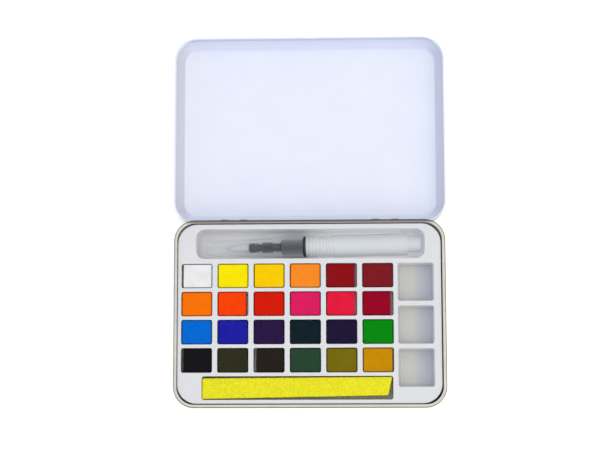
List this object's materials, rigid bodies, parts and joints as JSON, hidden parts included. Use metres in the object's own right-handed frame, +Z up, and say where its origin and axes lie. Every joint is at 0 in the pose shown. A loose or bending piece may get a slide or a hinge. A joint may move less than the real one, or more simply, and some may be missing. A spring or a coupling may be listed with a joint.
{
  "type": "watercolour paint set",
  "caption": "Flat hinged tin lying open, with a moulded tray of paint cakes, mixing wells, a sponge strip and a capped water brush.",
  "frame": {"origin": "middle of the base's flat underside, on the table", "axes": "+Z up; +X to the right along the tin's long side; +Y from the front edge towards the hinge and the open lid"},
  "size_m": [0.1626, 0.2225, 0.0178],
  "materials": {
    "tin_metal": "satin tinplate",
    "tin_lid": "white enamel inside, satin tinplate outside",
    "pin_wire": "drawn wire",
    "tray_plastic": "thermoformed, semi-gloss",
    "sponge_foam": "open-cell foam, fine pores",
    "paint_white": "dry cast watercolour cake, matt with a faint sheen",
    "paint_lemon_yellow": "dry cast watercolour cake, matt with a faint sheen",
    "paint_deep_yellow": "dry cast watercolour cake, matt with a faint sheen",
    "paint_light_orange": "dry cast watercolour cake, matt with a faint sheen",
    "paint_dark_crimson": "dry cast watercolour cake, matt with a faint sheen",
    "paint_maroon": "dry cast watercolour cake, matt with a faint sheen",
    "paint_orange": "dry cast watercolour cake, matt with a faint sheen",
    "paint_red_orange": "dry cast watercolour cake, matt with a faint sheen",
    "paint_scarlet": "dry cast watercolour cake, matt with a faint sheen",
    "paint_magenta_pink": "dry cast watercolour cake, matt with a faint sheen",
    "paint_rose_red": "dry cast watercolour cake, matt with a faint sheen",
    "paint_crimson": "dry cast watercolour cake, matt with a faint sheen",
    "paint_bright_blue": "dry cast watercolour cake, matt with a faint sheen",
    "paint_ultramarine": "dry cast watercolour cake, matt with a faint sheen",
    "paint_dark_violet": "dry cast watercolour cake, matt with a faint sheen",
    "paint_blue_black": "dry cast watercolour cake, matt with a faint sheen",
    "paint_indigo": "dry cast watercolour cake, matt with a faint sheen",
    "paint_green": "dry cast watercolour cake, matt with a faint sheen",
    "paint_black": "dry cast watercolour cake, matt with a faint sheen",
    "paint_dark_olive": "dry cast watercolour cake, matt with a faint sheen",
    "paint_brown_black": "dry cast watercolour cake, matt with a faint sheen",
    "paint_dark_green": "dry cast watercolour cake, matt with a faint sheen",
    "paint_olive": "dry cast watercolour cake, matt with a faint sheen",
    "paint_ochre": "dry cast watercolour cake, matt with a faint sheen",
    "cap_clear": "clear moulded plastic, smooth",
    "bristle_white": "nylon filament",
    "holder_dark": "moulded, satin",
    "wick_felt": "felt",
    "seal_black": "smooth",
    "collar_frosted": "frosted translucent, ribbed",
    "barrel_frosted": "frosted translucent",
    "plug_frosted": "frosted translucent"
  },
  "bodies": {
    "base": {"base_tin": "tin_metal", "hinge_pin_left": "pin_wire", "hinge_pin_right": "pin_wire", "paint_tray": "tray_plastic", "cake_white": "paint_white", "cake_lemon_yellow": "paint_lemon_yellow", "cake_deep_yellow": "paint_deep_yellow", "cake_light_orange": "paint_light_orange", "cake_dark_crimson": "paint_dark_crimson", "cake_maroon": "paint_maroon", "cake_orange": "paint_orange", "cake_red_orange": "paint_red_orange", "cake_scarlet": "paint_scarlet", "cake_magenta_pink": "paint_magenta_pink", "cake_rose_red": "paint_rose_red", "cake_crimson": "paint_crimson", "cake_bright_blue": "paint_bright_blue", "cake_ultramarine": "paint_ultramarine", "cake_dark_violet": "paint_dark_violet", "cake_blue_black": "paint_blue_black", "cake_indigo": "paint_indigo", "cake_green": "paint_green", "cake_black": "paint_black", "cake_dark_olive": "paint_dark_olive", "cake_brown_black": "paint_brown_black", "cake_dark_green": "paint_dark_green", "cake_olive": "paint_olive", "cake_ochre": "paint_ochre"},
    "lid": {"lid_tin": "tin_lid"},
    "sponge_strip": {"sponge": "sponge_foam"},
    "water_brush": {"bristle_tuft": "bristle_white", "nib_holder": "holder_dark", "feed_wick": "wick_felt", "seal_ring": "seal_black", "neck_collar": "collar_frosted", "water_barrel": "barrel_frosted", "end_plug": "plug_frosted"},
    "cap": {"brush_cap": "cap_clear"}
  },
  "joints": [
    {"name": "lid_hinge", "type": "hinge", "parent": "base", "child": "lid", "pos_m": [0, 0.05532, 0.01127], "axis": [1, 0, 0], "range_deg": [0, 180]},
    {"name": "sponge_lift", "type": "slide", "parent": "base", "child": "sponge_strip", "axis": [0, 0, 1], "range_m": [0, 0.06]},
    {"name": "brush_lift", "type": "slide", "parent": "base", "child": "water_brush", "axis": [0, 0, 1], "range_m": [0, 0.16]},
    {"name": "cap_pull", "type": "slide", "parent": "water_brush", "child": "cap", "axis": [-0.9995, -0.0157, -0.0262], "range_m": [0, 0.048]}
  ],
  "couplings": [
    {"joint": "cap_pull", "follows": "brush_lift", "ratio": 0.3}
  ]
}
